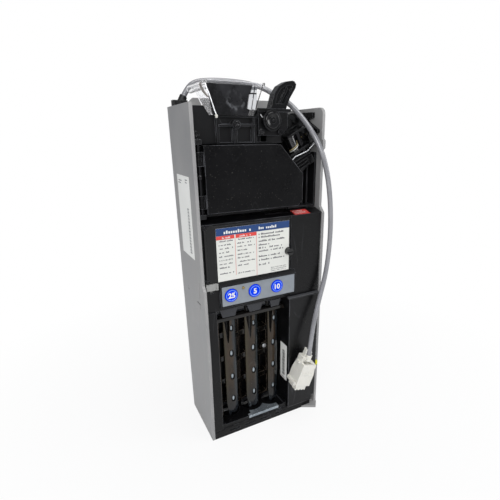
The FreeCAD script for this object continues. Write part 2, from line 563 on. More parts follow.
def cover_outline(inset):
    slope = inset * 0.42
    return [(COVER_X0 + inset, COVER_Z0 + inset), (COVER_X1 - 5 - slope, COVER_Z0 + inset),
            (COVER_X1 - inset, COVER_Z0 + 5 + slope), (COVER_X1 - inset, COVER_CORNER_Z - slope),
            (COVER_CORNER_X - slope, COVER_Z1 - inset), (COVER_X0 + inset, COVER_Z1 - inset)]


def gate_cover():
    """Hinged black cover of the coin runway, hollow behind."""
    shell = prism_xz(cover_outline(0), COVER_FRONT, COVER_BACK)
    shell = shell.cut(prism_xz(cover_outline(COVER_T), COVER_FRONT + COVER_T, COVER_BACK + 1))
    parts = [shell]
    for z, height in KNUCKLES:
        parts.append(rod(KNUCKLE_R, (ROD_X, ROD_Y, z), (ROD_X, ROD_Y, z + height)))
        parts.append(box(ROD_X, COVER_X0 + COVER_T / 2, ROD_Y - 1, ROD_Y + 1, z, z + height))
    return joined(*parts).cut(rod(ROD_R + PIN_GAP, (ROD_X, ROD_Y, COVER_Z0 - 5),
                                  (ROD_X, ROD_Y, COVER_Z1 + 5)))


def hinge_rod():
    low, high = HINGE_LUG_ZS[0] + 1, HINGE_LUG_ZS[1] + 4.6
    shaft = rod(ROD_R, (ROD_X, ROD_Y, low), (ROD_X, ROD_Y, high))
    clip = rod(2.0, (ROD_X, ROD_Y, COVER_CORNER_Z), (ROD_X, ROD_Y, COVER_CORNER_Z + 2.6))
    return joined(shaft, clip)


def coin_sensors():
    y0 = ACC_PLATE + ACC_PLATE_T
    return Part.Compound([rod(8, (x, y0, z), (x, ACC_BOARD_Y, z))
                          for x, z in ((ENTRY_X1 - 8, COVER_Z0 + 34.6), (EXIT_X0, COVER_Z0 + 26.6),
                                       (EXIT_X0 + 22, COVER_Z0 + 18.6))])


def acceptor_board():
    return box(MOD_LEFT + 6.7, MOD_RIGHT - 6.7, ACC_BOARD_Y, ACC_BOARD_Y + ACC_BOARD_T, ACCEPTOR_Z + 5,
               HOUSING_H - 13)


def screw(x, y, z):
    """Pan-head screw along +Y, with its head seated at y."""
    head = rod(SCREW_HEAD_R, (x, y - SCREW_HEAD_T, z), (x, y, z))
    cross = [box(x - 1.6, x + 1.6, y - SCREW_HEAD_T, y - SCREW_HEAD_T + 0.8, z - 0.3, z + 0.3),
             box(x - 0.3, x + 0.3, y - SCREW_HEAD_T, y - SCREW_HEAD_T + 0.8, z - 1.6, z + 1.6)]
    return joined(head.cut(cross), rod(SCREW_R, (x, y, z), (x, y + SCREW_L, z)))


def module_screws():
    spots = list(ACC_SCREWS) + [(x, LB_FRONT, z) for x, z in LB_SCREWS]
    return Part.Compound([screw(*spot) for spot in spots])


# ---------------------------------------------------------------- control case
CASE_FACE = FRONT + 1.8              # flat front of the case
CASE_BACK = FRONT + 45.0
PANEL_X0 = RIGHT - 41.0
PANEL_R = 6.0
DOOR_X0 = MOD_LEFT + 4.9
DOOR_X1 = PANEL_X0 - 1.2
DOOR_Z0 = CASE_Z + 31.8
DOOR_Z1 = CASE_TOP - 1.8
DOOR_PIN_X = MOD_LEFT + 3.1
DOOR_PIN_Y = CASE_FACE - 1.5
DOOR_PIN_R = 0.7
DOOR_KNUCKLE_R = 1.35
DOOR_KNUCKLE_Z0 = DOOR_Z0 + 3.7
DOOR_KNUCKLE_Z1 = DOOR_Z1 - 3.2
DOOR_LUG_T = 2.4
BAR_Z1 = DOOR_Z0 - 0.4
BAR_Z0 = BAR_Z1 - 4.4
BAR_FRONT = FRONT - 1.4
FASCIA_X0 = MOD_LEFT + 16.5
FASCIA_X1 = PANEL_X0 + 4.6
FASCIA_Z0 = CASE_Z + 4.9
FASCIA_Z1 = BAR_Z0 - 1.2
FASCIA_FRONT = FRONT - 0.6
BEZEL = 1.8
LED_X = FASCIA_X0 + 23.2
LED_Z = FASCIA_Z1 - 4.4
LED_R = 1.5
KNOB_X = DOOR_X1 - 2.6
KNOB_Z = DOOR_Z0 + 21.2
KNOB_R = 3.8
KNOB_FRONT = FRONT - 6.0
KNOB_STEM_R = 1.8
LEDGE_FRONT_Z = CASE_TOP - 1.2
LEDGE_BACK_Y = FRONT + 13.2
LEDGE_RISE = 3.4
BUTTON_BORE = BUTTON_R + 0.25
BOARD_Y = FRONT + 11.0                    # button board
BOARD_T = 1.6
MAIN_Y = FRONT + 29.0                    # main board
LATCH_X = MOD_LEFT + 7.0
LATCH_W = 11.8
LATCH_Z = FASCIA_Z1 + 2.0
LATCH_H = 6.8
LATCH_TRAVEL = 5.0
LATCH_STEM_W = 3.0
MAIN_POSTS = ((MOD_LEFT + 9.7, CASE_Z + 40.0), (MOD_RIGHT - 9.7, CASE_Z + 10.0),
              (MOD_LEFT + 9.7, CASE_TOP - 10.0), (MOD_RIGHT - 9.7, CASE_TOP - 10.0))
BUTTON_POSTS = tuple((x, z) for z in (FASCIA_Z0 + 2.1, FASCIA_Z1 - 1.8)
                     for x in (FASCIA_X0 - 3.3, FASCIA_X1 + 3.4))
BUTTON_Z = FASCIA_Z0 + 10.9
BUTTON_XS = tuple(FASCIA_X0 + 9.8 + k * BUTTON_PITCH for k in range(3))


def control_case():
    outer = box(MOD_LEFT, MOD_RIGHT, CASE_FACE, CASE_BACK, CASE_Z, CASE_TOP)
    inner = box(MOD_LEFT + SHELL, MOD_RIGHT - SHELL, CASE_FACE + SHELL, CASE_BACK + 1,
                CASE_Z + SHELL, CASE_TOP - SHELL)
    shell = outer.cut(inner)
    ledge = prism_yz([(FRONT, LEDGE_FRONT_Z), (FRONT, LEDGE_FRONT_Z + 0.8),
                      (LEDGE_BACK_Y, LEDGE_FRONT_Z + 0.8 + LEDGE_RISE), (LEDGE_BACK_Y, LEDGE_FRONT_Z)],
                     MOD_LEFT, MOD_RIGHT)
    panel = box(PANEL_X0, MOD_RIGHT - 1, FRONT, CASE_FACE, CASE_Z, LEDGE_FRONT_Z)
    panel = rounded(panel, PANEL_R, (0, 1, 0), near=[(MOD_RIGHT - 1, (FRONT + CASE_FACE) / 2, CASE_Z)])
    bar = box(FASCIA_X0 - BEZEL - 1.5, FASCIA_X1, BAR_FRONT, CASE_FACE, BAR_Z0, BAR_Z1)
    bar = rounded(bar, 1.4, (1, 0, 0), near=[((FASCIA_X0 + FASCIA_X1 - BEZEL - 1.5) / 2, BAR_FRONT, z)
                                             for z in (BAR_Z0, BAR_Z1)])
    bezel = box(FASCIA_X0 - BEZEL, FASCIA_X1 + BEZEL, FASCIA_FRONT - 0.2, CASE_FACE, FASCIA_Z0 - BEZEL,
                BAR_Z0)
    seat = box(FASCIA_X0, FASCIA_X1, FASCIA_FRONT - 1, FASCIA_FRONT + FASCIA_T, FASCIA_Z0, FASCIA_Z1)
    lug_zs = (DOOR_KNUCKLE_Z0 - 0.3 - DOOR_LUG_T, DOOR_KNUCKLE_Z1 + 0.3)
    lugs = [joined(rod(1.6, (DOOR_PIN_X, DOOR_PIN_Y, z), (DOOR_PIN_X, DOOR_PIN_Y, z + DOOR_LUG_T)),
                   box(DOOR_PIN_X - 1.6, DOOR_PIN_X + 1.3, DOOR_PIN_Y, CASE_FACE, z, z + DOOR_LUG_T))
            for z in lug_zs]
    wall = CASE_FACE + SHELL
    posts = [rod(2.6, (x, wall, z), (x, MAIN_Y, z)) for x, z in MAIN_POSTS]
    posts += [rod(1.9, (x, wall, z), (x, BOARD_Y, z)) for x, z in BUTTON_POSTS]
    case = joined(shell, ledge, panel, bar, bezel, *(lugs + posts))
    window = box(DOOR_X0 + 13.8, DOOR_X1 - 7.8, CASE_FACE - 1, wall + 1, DOOR_Z0 + 7.2, DOOR_Z1 - 6.2)
    bores = [rod(BUTTON_BORE, (x, BAR_FRONT, BUTTON_Z), (x, wall + 1, BUTTON_Z)) for x in BUTTON_XS]
    bores.append(rod(LED_R + PIN_GAP, (LED_X, BAR_FRONT, LED_Z), (LED_X, wall + 1, LED_Z)))
    bores.append(rod(DOOR_PIN_R, (DOOR_PIN_X, DOOR_PIN_Y, lug_zs[0]),
                     (DOOR_PIN_X, DOOR_PIN_Y, lug_zs[1] + 5)))
    slot = box(LATCH_X - LATCH_STEM_W / 2 - SLIDE_GAP, LATCH_X + LATCH_STEM_W / 2 + SLIDE_GAP,
               CASE_FACE - 1,
               wall + 1, LATCH_Z - 2 - LATCH_TRAVEL - SLIDE_GAP, LATCH_Z + 2 + SLIDE_GAP)
    coin_slot = box(EXIT_X0, EXIT_X1, EXIT_Y0, EXIT_Y1, CASE_TOP - SHELL - 4, CASE_TOP + 5)
    drops = [rod(bore_radius(coin) + FIT, (x, bore_y(coin), CASE_Z - 1),
                 (x, bore_y(coin), CASE_Z + SHELL + 1))
             for x, coin in TUBES]
    return case.cut(bores + drops + [seat, window, slot, coin_slot])


def service_door():
    plate = box(DOOR_X0, DOOR_X1, CASE_FACE - DOOR_T, CASE_FACE - 0.1, DOOR_Z0, DOOR_Z1)
    holder = box(DOOR_X0 + 7.1, DOOR_X1 - 0.6, FRONT - 0.5, CASE_FACE - DOOR_T + 0.1, DOOR_Z0,
                 DOOR_Z1 - 1)
    barrel = rod(DOOR_KNUCKLE_R, (DOOR_PIN_X, DOOR_PIN_Y, DOOR_KNUCKLE_Z0),
                 (DOOR_PIN_X, DOOR_PIN_Y, DOOR_KNUCKLE_Z1))
    web = box(DOOR_PIN_X, DOOR_X0 + 1, CASE_FACE - DOOR_T, DOOR_PIN_Y + 0.6, DOOR_KNUCKLE_Z0,
              DOOR_KNUCKLE_Z1)
    door = joined(plate, holder, barrel, web)
    pin_bore = rod(DOOR_PIN_R + PIN_GAP, (DOOR_PIN_X, DOOR_PIN_Y, DOOR_Z0),
                   (DOOR_PIN_X, DOOR_PIN_Y, DOOR_Z1))
    return door.cut([pin_bore, rod(KNOB_STEM_R + PIN_GAP, (KNOB_X, KNOB_FRONT, KNOB_Z),
                                   (KNOB_X, CASE_FACE + 3, KNOB_Z))])


def door_pin():
    z0, z1 = DOOR_KNUCKLE_Z0 - 0.3 - DOOR_LUG_T, DOOR_KNUCKLE_Z1 + 0.3 + DOOR_LUG_T
    return rod(DOOR_PIN_R, (DOOR_PIN_X, DOOR_PIN_Y, z0), (DOOR_PIN_X, DOOR_PIN_Y, z1))


def door_label():
    face = FRONT - 0.5
    label = box(DOOR_X0 + 8.4, DOOR_X1 - 1.8, face - LABEL_T, face, DOOR_Z0 + 0.5, DOOR_Z1 - 3.0)
    return label.cut(rod(KNOB_R + 0.3, (KNOB_X, KNOB_FRONT, KNOB_Z), (KNOB_X, CASE_FACE + 3, KNOB_Z)))


def door_knob():
    """Captive quarter-turn knob with a slot across its head."""
    seat = FRONT - 0.6
    head = rod(KNOB_R, (KNOB_X, KNOB_FRONT, KNOB_Z), (KNOB_X, seat, KNOB_Z))
    stem = rod(KNOB_STEM_R, (KNOB_X, seat, KNOB_Z), (KNOB_X, CASE_FACE - 0.4, KNOB_Z))
    slot = box(KNOB_X - 5, KNOB_X + 5, KNOB_FRONT - 1, KNOB_FRONT + 1.2, KNOB_Z - 0.6, KNOB_Z + 0.6)
    return joined(head.cut(slot), stem)


def button_fascia():
    plate = box(FASCIA_X0, FASCIA_X1, FASCIA_FRONT, FASCIA_FRONT + FASCIA_T, FASCIA_Z0, FASCIA_Z1)
    bores = [rod(BUTTON_BORE, (x, FASCIA_FRONT - 1, BUTTON_Z),
                 (x, CASE_FACE, BUTTON_Z)) for x in BUTTON_XS]
    bores.append(rod(LED_R + PIN_GAP, (LED_X, FASCIA_FRONT - 1, LED_Z), (LED_X, CASE_FACE, LED_Z)))
    return plate.cut(bores)


def payout_button(x):
    """Round key: cap, flange behind the case wall and a stem to its switch."""
    front = FASCIA_FRONT - BUTTON_Y_PROUD
    wall = CASE_FACE + SHELL
    cap = rod(BUTTON_R, (x, front, BUTTON_Z), (x, wall + 0.2, BUTTON_Z))
    cap = cap.makeFillet(0.5, [e for e in cap.Edges if e.BoundBox.YMax < front + 0.1])
    flange = rod(BUTTON_R + 1.2, (x, wall + 0.1, BUTTON_Z), (x, wall + 1.2, BUTTON_Z))
    stem = rod(1.8, (x, wall + 1, BUTTON_Z), (x, BOARD_Y - BUTTON_TRAVEL - 0.2, BUTTON_Z))
    return joined(cap, flange, stem)


def button_springs():
    y0 = CASE_FACE + SHELL + 1.2
    return Part.Compound([ring(3.6, 2.6, (x, y0, BUTTON_Z), (x, BOARD_Y, BUTTON_Z)) for x in BUTTON_XS])


def button_board():
    return box(FASCIA_X0 - 6.3, FASCIA_X1 + 6.4, BOARD_Y, BOARD_Y + BOARD_T, CASE_Z + SHELL + 1,
               FASCIA_Z1 + 2)


def status_led():
    return rod(LED_R, (LED_X, FASCIA_FRONT - 0.4, LED_Z), (LED_X, BOARD_Y, LED_Z))


def cassette_latch():
    """Grey tab that is pushed down to free the tube cassette."""
    wall = CASE_FACE + SHELL
    tab = box(LATCH_X - LATCH_W / 2, LATCH_X + LATCH_W / 2, CASE_FACE - 2.6, CASE_FACE - 0.2,
              LATCH_Z - LATCH_H / 2, LATCH_Z + LATCH_H / 2)
    grip = box(LATCH_X + LATCH_W / 2 - 1.6, LATCH_X + LATCH_W / 2, CASE_FACE - 3.4, CASE_FACE - 2.6,
               LATCH_Z - LATCH_H / 2, LATCH_Z + LATCH_H / 2)
    half = LATCH_STEM_W / 2
    stem = box(LATCH_X - half, LATCH_X + half, CASE_FACE - 0.3, wall + 2, LATCH_Z - 2, LATCH_Z + 2)
    slide = box(LATCH_X - half, LATCH_X + half, wall + 0.2, wall + 2, LATCH_Z - 12, LATCH_Z + 6)
    return joined(tab, grip, stem, slide)


def latch_spring():
    y = CASE_FACE + SHELL + 1.6
    z0, z1 = CASE_Z + SHELL, LATCH_Z - 12
    return ring(1.5, 0.9, (LATCH_X, y, z0), (LATCH_X, y, z1))


def main_board():
    return box(MOD_LEFT + 5.7, MOD_RIGHT - 5.7, MAIN_Y, MAIN_Y + BOARD_T, CASE_Z + 6, CASE_TOP - 6)


def transformer():
    x, z = MOD_RIGHT - 27.7, CASE_Z + 55.0
    core = box(x - 15, x + 15, MAIN_Y - 16, MAIN_Y, z - 17, z + 17)
    winding = box(x - 11, x + 11, MAIN_Y - 19, MAIN_Y - 16, z - 13, z + 13)
    return joined(core, winding)


def board_parts():
    """Capacitors, relay and harness socket on the main board."""
    x, z, rear = MOD_LEFT + 22.7, CASE_Z + 64.0, MAIN_Y + BOARD_T
    cans = [rod(6, (x + dx, rear, z), (x + dx, rear + 11, z)) for dx in (0, 18)]
    socket = box(x + 54, x + 84, rear, rear + 9, z - 50, z - 40)
    chip = box(x + 4, x + 34, MAIN_Y - 3, MAIN_Y, z - 16, z)
    relay = box(x, x + 20, MAIN_Y - 12, MAIN_Y, z + 4, z + 16)
    return Part.Compound(cans + [socket, chip, relay])


def sill_sticker():
    """Red sticker on the sloping ledge, at its right."""
    slope = LEDGE_RISE / (LEDGE_BACK_Y - FRONT)
    y0, y1 = FRONT + 0.6, FRONT + 10.6
    z0 = LEDGE_FRONT_Z + 0.8 + slope * (y0 - FRONT)
    z1 = LEDGE_FRONT_Z + 0.8 + slope * (y1 - FRONT)
    return prism_yz([(y0, z0), (y1, z1), (y1, z1 + LABEL_T), (y0, z0 + LABEL_T)], MOD_RIGHT - 33.0,
                    MOD_RIGHT - 14.5)


# ---------------------------------------------------------------- coin bay
BAY_FRONT = FRONT + 0.6
BAY_BACK_Y = FRONT + 43.0
BAY_BACK_Z = 21.5
PANEL_FRONT = FRONT - 2.5                # lower right panel
PANEL_LIP_H = 1.8
PANEL_LIP = 2.2
PANEL_X1 = MOD_RIGHT - 1.8
TOE_Z = 16.6                         # the panel is narrower below this height
CHUTE_H = 11.0                       # guides above the coin tubes
CHUTE_FACE = TUBE_FRONT_Y + 4.0
HOOD_FRONT = CHUTE_FACE - 8.0
CASSETTE_X0 = BAY_X0 + 0.8
CASSETTE_X1 = BAY_X1 - 1.4
CASSETTE_FACE = TUBE_FRONT_Y + 19.0  # front of the block between the tubes
CASSETTE_BACK = BAY_BACK_Y - 1.4
RAIL_FRONT = TUBE_FRONT_Y - 2.6
RAIL_H = 4.6
CHEEK_W = 3.2
STRIP_SIDES = ((6.7, 6.9), (7.7, 7.2), (5.3, 7.6))   # each strip left and right of its tube's axis
NOTCH_Z = 112.0
HOLE_W = 4.0
HOLE_L = 7.4
HOLE_DX = 0.9
HOLE_ZS = (39.0, 69.0, 99.0)
TOP_HOLE_DX = 1.9
TOP_HOLE_DZ = -11.0                  # topmost hole, from the tube's upper end
WINDOW_PITCH = 31.5
WINDOW_H = 25.0
CASSETTE_SCREW_Z = 83.0
CASSETTE_SCREW_Y = CASSETTE_FACE + 2.8


def bay_frame():
    """Black frame of the coin bay: left post and back wall."""
    top = CASE_Z - FIT
    post = box(MOD_LEFT, BAY_X0, BAY_FRONT, BAY_BACK_Y + SHELL, SILL_H, top)
    hollow = box(MOD_LEFT + SHELL, BAY_X0 - SHELL, BAY_FRONT + SHELL, BAY_BACK_Y + SHELL + 1,
                 SILL_H + SHELL, top - SHELL)
    back = box(BAY_X0 - SHELL, BAY_X1, BAY_BACK_Y, BAY_BACK_Y + SHELL, BAY_BACK_Z, top)
    return joined(post.cut(hollow), back)


def right_panel():
    """Box beside the bay, open behind, with a small ledge along its top."""
    x0, top = BAY_X1 + FIT, CASE_Z - FIT
    outer = box(x0, PANEL_X1, PANEL_FRONT, CASE_BACK, SILL_H, top)
    inner = box(x0 + SHELL, PANEL_X1 - SHELL, PANEL_FRONT + SHELL, CASE_BACK + 1, SILL_H + SHELL,
                top - SHELL)
    toe = box(SILL_X1, MOD_RIGHT, PANEL_FRONT - 1, CASE_BACK + 2, 0, TOE_Z)
    cheek = box(SILL_X1 - SHELL, SILL_X1, PANEL_FRONT, CASE_BACK, SILL_H, TOE_Z + SHELL)
    shelf = box(SILL_X1 - SHELL, PANEL_X1, PANEL_FRONT, CASE_BACK, TOE_Z, TOE_Z + SHELL)
    lip = box(x0 - PANEL_LIP, PANEL_X1, PANEL_FRONT - PANEL_LIP, PANEL_FRONT + SHELL, top - PANEL_LIP_H,
              top)
    return joined(outer.cut([inner, toe]), cheek, shelf, lip)


def hood(x, half_top, half_low, shift, z0, z1):
    """Tapered scoop in front of one drop hole."""
    outline = [(x + shift - half_top, z1), (x + shift + half_top, z1), (x + shift + half_low, z0),
               (x + shift - half_low, z0)]
    return prism_xz(outline, HOOD_FRONT, CHUTE_FACE)


def coin_chutes():
    """Guide block that drops sorted coins into the three tubes."""
    z1 = CASE_Z - FIT
    z0 = z1 - CHUTE_H
    block = box(BAY_X0 + FIT, BAY_X1 - FIT, CHUTE_FACE, BAY_BACK_Y, z0, z1)
    hoods = [hood(QUARTER_X, 9.7, 7.0, -1.7, z0, z1 - 2.0), hood(NICKEL_X, 9.2, 6.4, 2.2, z0, z1 - 2.6),
             hood(DIME_X, 6.6, 4.8, 1.2, z0, z1 - 3.2)]
    bores = [rod(bore_radius(coin), (x, bore_y(coin), z0 - 1), (x, bore_y(coin), z1 + 1))
             for x, coin in TUBES]
    return joined(block, *hoods).cut(bores)


def lands():
    """Left and right edges of the solid strips between neighbouring bores."""
    edges = []
    for x, coin in TUBES:
        half = math.sqrt(bore_radius(coin) ** 2 - (CASSETTE_FACE - bore_y(coin)) ** 2)
        edges += [x - half, x + half]
    return ((edges[1], edges[2]), (edges[3], edges[4]))


def tube_cassette():
    """Black block with three open bores, a front rail and windows in its back wall."""
    top = TUBE_TOP + RAIL_H
    block = box(CASSETTE_X0, CASSETTE_X1, CASSETTE_FACE, CASSETTE_BACK, CASSETTE_Z0, top)
    deck = box(CASSETTE_X0, CASSETTE_X1, RAIL_FRONT, CASSETTE_FACE, TUBE_TOP, top)
    deck = rounded(deck, 1.0, (1, 0, 0), near=[((CASSETTE_X0 + CASSETTE_X1) / 2, RAIL_FRONT, z)
                                               for z in (TUBE_TOP, top)])
    cheek = box(CASSETTE_X0, CASSETTE_X0 + CHEEK_W, RAIL_FRONT + 1.5, CASSETTE_FACE, CASSETTE_Z0,
                TUBE_TOP)
    cuts = [box(x - bore_radius(coin) * 0.62, x + 1.5, bore_y(coin), CASSETTE_BACK + 1, z, z + WINDOW_H)
            for x, coin in TUBES for z in window_zs()]
    cuts += [box(x0 + RIB, x1 - RIB, CASSETTE_FACE - 1, CASSETTE_FACE + 4, z, z + WINDOW_H)
             for x0, x1 in lands() for z in window_zs()]
    cuts += [rod(bore_radius(coin), (x, bore_y(coin), 0), (x, bore_y(coin), top + 1))
             for x, coin in TUBES]
    y, z = CASSETTE_SCREW_Y, CASSETTE_SCREW_Z
    cuts.append(rod(SCREW_R + PIN_GAP, (DIME_X, y - 1, z), (DIME_X, CASSETTE_BACK + 1, z)))
    seat = rod(SCREW_HEAD_R + 2.5, (DIME_X, y, z), (DIME_X, CASSETTE_BACK, z))
    block = joined(block, deck, cheek).cut(cuts)
    return joined(block, seat).cut([cuts[-1], rod(SCREW_HEAD_R + FIT, (DIME_X, bore_y(DIME_D), z),
                                                  (DIME_X, y, z))])


def window_zs():
    return [CASSETTE_Z0 + 1.5 + k * WINDOW_PITCH for k in range(4)]


def cassette_screw():
    return screw(DIME_X, CASSETTE_SCREW_Y, CASSETTE_SCREW_Z)


def sight_hole(x, z, width):
    """Obround hole through a tube's front strip."""
    half = (HOLE_L - width) / 2
    y0, y1 = TUBE_FRONT_Y - 1, TUBE_FRONT_Y + 6
    ends = [rod(width / 2, (x, y0, z + side * half), (x, y1, z + side * half)) for side in (-1, 1)]
    return joined(box(x - width / 2, x + width / 2, y0, y1, z - half, z + half), *ends)


def coin_tube(x, coin, left, right):
    """Curved front strip of a coin tube: sight holes, a notch at the top, a jagged foot."""
    radius, y, foot = bore_radius(coin), bore_y(coin), CASSETTE_Z0 + 0.6
    tube = ring(radius + TUBE_WALL, radius, (x, y, 0), (x, y, TUBE_TOP))
    face = prism_xz([(x - left, foot + 17), (x - left + 1.2, foot + 4), (x - left + 2.1, foot),
                     (x - left + 3.5, foot), (x - left + 5, foot + 4), (x + 1.5, foot + 2.2),
                     (x + right - 2.8, foot + 2.8), (x + right, foot + 7), (x + right, TUBE_TOP + 1),
                     (x + 0.2, TUBE_TOP + 1), (x - 0.6, NOTCH_Z + 13), (x - 1.6, NOTCH_Z + 1),
                     (x - 2.8, NOTCH_Z), (x - 3.8, NOTCH_Z + 8), (x - left + 0.9, TUBE_TOP + 1),
                     (x - left, TUBE_TOP + 1)], TUBE_FRONT_Y - 1, y)
    holes = [sight_hole(x + HOLE_DX, z, HOLE_W) for z in HOLE_ZS]
    holes.append(sight_hole(x + TOP_HOLE_DX, TUBE_TOP + TOP_HOLE_DZ, HOLE_W * 0.8))
    return tube.common(face).cut(holes)


# ---------------------------------------------------------------- payout
BASE_TOP = 11.0                      # deck the payout slides run on
PAYOUT_GAP = 0.15
PAYOUT_T = 2.0
PAYOUT_TRAVEL = 14.4
PAYOUT_FRONT = FRONT + 4.5
PAYOUT_Z0 = BASE_TOP + PAYOUT_GAP
PUSH_Z = PAYOUT_Z0 + PAYOUT_T / 2
PUSH_R = 1.8                         # payout plungers
APRON_TOP = 10.0                     # slope that turns falling coins on edge
ROOF_Z0 = PAYOUT_Z0 + PAYOUT_T + PAYOUT_GAP
ROOF_Z1 = ROOF_Z0 + 1.3
ROOF_BACK = TUBE_FRONT_Y + TUBE_WALL + 2 * bore_radius(QUARTER_D) + 1.0
ROOF_FRONT = FRONT + 1.5
PLATE_Z1 = ROOF_Z1 + 1.2
CASSETTE_Z0 = PLATE_Z1 + 0.2
SIDE_WALL = 1.0                      # slide beyond its coin on either side
COIL_R = 8.0
COIL_PLATE_T = 1.4
COIL_Y0 = ROOF_BACK + PAYOUT_TRAVEL + 2.8
COIL_Y1 = IN_BACK - 0.6
BRACKET_Y = COIL_Y0 - COIL_PLATE_T    # front of the plate that carries the coils
BAR_BACK = FLOOR_FRONT - FIT


def slide_edges(x, coin):
    half = coin / 2 + SIDE_WALL
    return x - half, x + half


def payout_base():
    """Black tray under the payout slides, with the front bar of the changer."""
    bar = box(MOD_LEFT, SILL_X1, FRONT, BAR_BACK, 0, SILL_H)
    bar = rounded(bar, 1.0, (1, 0, 0), near=[((MOD_LEFT + SILL_X1) / 2, FRONT, SILL_H)])
    tray = box(MOD_LEFT, BAY_X1, BAR_BACK, OUTLET_Y0, WALL, SILL_H)
    x0, x1 = BAY_X0 + FIT, BAY_X1 - FIT
    deck = box(x0, x1, ROOF_FRONT, OUTLET_Y0, SILL_H, BASE_TOP)
    back = BRACKET_Y - FIT
    apron = prism_yz([(OUTLET_Y0 + OUTLET_L, WALL), (back, WALL), (back, APRON_TOP),
                      (back - 2, APRON_TOP)], x0, x1)
    lip = box(x0, x1, ROOF_FRONT, PAYOUT_FRONT - 0.5, SILL_H, ROOF_Z1)
    roof = box(x0, x1, ROOF_FRONT, ROOF_BACK, ROOF_Z0, ROOF_Z1)
    holes = [rod(bore_radius(coin), (x, bore_y(coin), ROOF_Z0 - 1), (x, bore_y(coin), ROOF_Z1 + 1))
             for x, coin in TUBES]
    edges = [x0] + [e for tube in TUBES for e in slide_edges(*tube)] + [x1]
    ribs = [box(a if a == x0 else a + FIT, b if b == x1 else b - FIT, ROOF_FRONT, back, WALL,
                PLATE_Z1 if x0 == a or x1 == b else ROOF_Z1) for a, b in zip(edges[::2], edges[1::2])]
    slot_xs = [x0 + 6.3 + 20 * k for k in range(4)]
    slots = [box(x, x + 14, FRONT - 1, FRONT + 1.4, 4.2, 6.4) for x in slot_xs]
    keys = [box(x, x + 7, FRONT - 1, FRONT + 1.2, SILL_H - 1.6, SILL_H + 1)
            for x in (NICKEL_X + 6.8, DIME_X - 0.7)]
    return joined(bar, tray, deck, apron, lip, roof.cut(holes), *ribs).cut(slots + keys)


def payout_plate():
    """Galvanised plate on the roof, hollowed round the nickel and dime tubes."""
    x0, x1 = NICKEL_X - 11.2, DIME_X + 2.3
    plate = box(x0, x1, FRONT + 0.2, FRONT + 17, ROOF_Z1, PLATE_Z1)
    flange = box(x0, x1, FRONT + 0.2, FRONT + 1.2, ROOF_Z1 - 2, ROOF_Z1)
    hollows = [rod(radius, (x, bore_y(coin), ROOF_Z1 - 1), (x, bore_y(coin), PLATE_Z1 + 1))
               for radius, (x, coin) in zip((15.5, 15.2), TUBES[1:])]
    corner = box(x0 - 1, x0 + 4, FRONT + 4, FRONT + 18, ROOF_Z1 - 1, PLATE_Z1 + 1)
    return joined(plate.cut(hollows + [corner]), flange)


def payout_slide(x, coin):
    """Slide that carries the lowest coin back over the outlet, with its plunger."""
    x0, x1 = slide_edges(x, coin)
    rear = bore_y(coin) + coin / 2 + 2
    plate = box(x0, x1, PAYOUT_FRONT, rear, PAYOUT_Z0, PAYOUT_Z0 + PAYOUT_T)
    hole = rod(coin / 2 + 0.3, (x, bore_y(coin), 0), (x, bore_y(coin), PAYOUT_Z0 + PAYOUT_T + 1))
    neck = box(x - PUSH_R, x + PUSH_R, rear - 1, BRACKET_Y - PAYOUT_TRAVEL - SLIDE_GAP, PAYOUT_Z0,
               PAYOUT_Z0 + PAYOUT_T)
    push = rod(PUSH_R, (x, ROOF_BACK + 0.6, PUSH_Z), (x, COIL_Y0 - 0.1, PUSH_Z))
    return joined(plate.cut(hole), neck, push)


def payout_coils():
    bore = PUSH_R + PIN_GAP
    return Part.Compound([ring(COIL_R, bore, (x, COIL_Y0, PUSH_Z), (x, COIL_Y1, PUSH_Z))
                          for x, _ in TUBES])


def coil_bracket():
    plate = box(BAY_X0 + FIT, BAY_X1 - FIT, BRACKET_Y, COIL_Y0, WALL, PUSH_Z + COIL_R + 2)
    foot = box(BAY_X0 + FIT, BAY_X1 - FIT, COIL_Y0, COIL_Y1, WALL, PUSH_Z - COIL_R)
    bores = [rod(PUSH_R + PIN_GAP, (x, BRACKET_Y - 1, PUSH_Z), (x, COIL_Y0 + 1, PUSH_Z))
             for x, _ in TUBES]
    return joined(plate, foot).cut(bores)


# ---------------------------------------------------------------- cord and plug
SPOUT_RUN = 9.0                      # first straight run, in line with the spout
CORD_POINTS = (
    CORD_START,
    (CORD_START[0] + SPOUT_RUN * math.sin(math.radians(SPOUT_LEAN)), CORD_START[1],
     CORD_START[2] + SPOUT_RUN * math.cos(math.radians(SPOUT_LEAN))),
    (-41.5, 30.2, 373.0), (-26.0, 29.6, 374.8), (-6.0, 29.0, 375.0),
    (13.0, 28.0, 373.8), (28.5, 24.5, 370.4), (38.0, 13.5, 362.4), (44.6, 0.0, 355.2),
    (49.0, -13.0, 344.5), (54.5, -26.0, 330.5), (60.3, -36.6, 313.0), (66.0, -41.4, 291.0),
    (71.3, -42.0, 264.0), (74.2, -41.8, 234.0), (73.4, -42.0, 203.0), (69.0, -43.0, 175.0),
    (60.4, -45.0, 149.0), (52.4, -48.4, 125.0), (47.4, -51.4, 104.5), (44.4, -53.0, 88.2))


def cord_path():
    """Straight runs joined by tangent arcs, each as large as its two runs allow."""
    points = [V(*p) for p in CORD_POINTS]
    edges, start, radii = [], points[0], []
    for before, corner, after in zip(points, points[1:], points[2:]):
        into, out = corner - before, after - corner
        cut = 0.45 * min(into.Length, out.Length)
        radii.append(cut / math.tan(into.getAngle(out) / 2))
        into.normalize()
        out.normalize()
        arc_start, arc_end = corner - into * cut, corner + out * cut
        inward = out - into
        inward.normalize()
        middle = corner + inward * (math.hypot(radii[-1], cut) - radii[-1])
        edges.append(Part.LineSegment(start, arc_start).toShape())
        edges.append(Part.Arc(arc_start, middle, arc_end).toShape())
        start = arc_end
    edges.append(Part.LineSegment(start, points[-1]).toShape())
    return Part.Wire(edges), radii


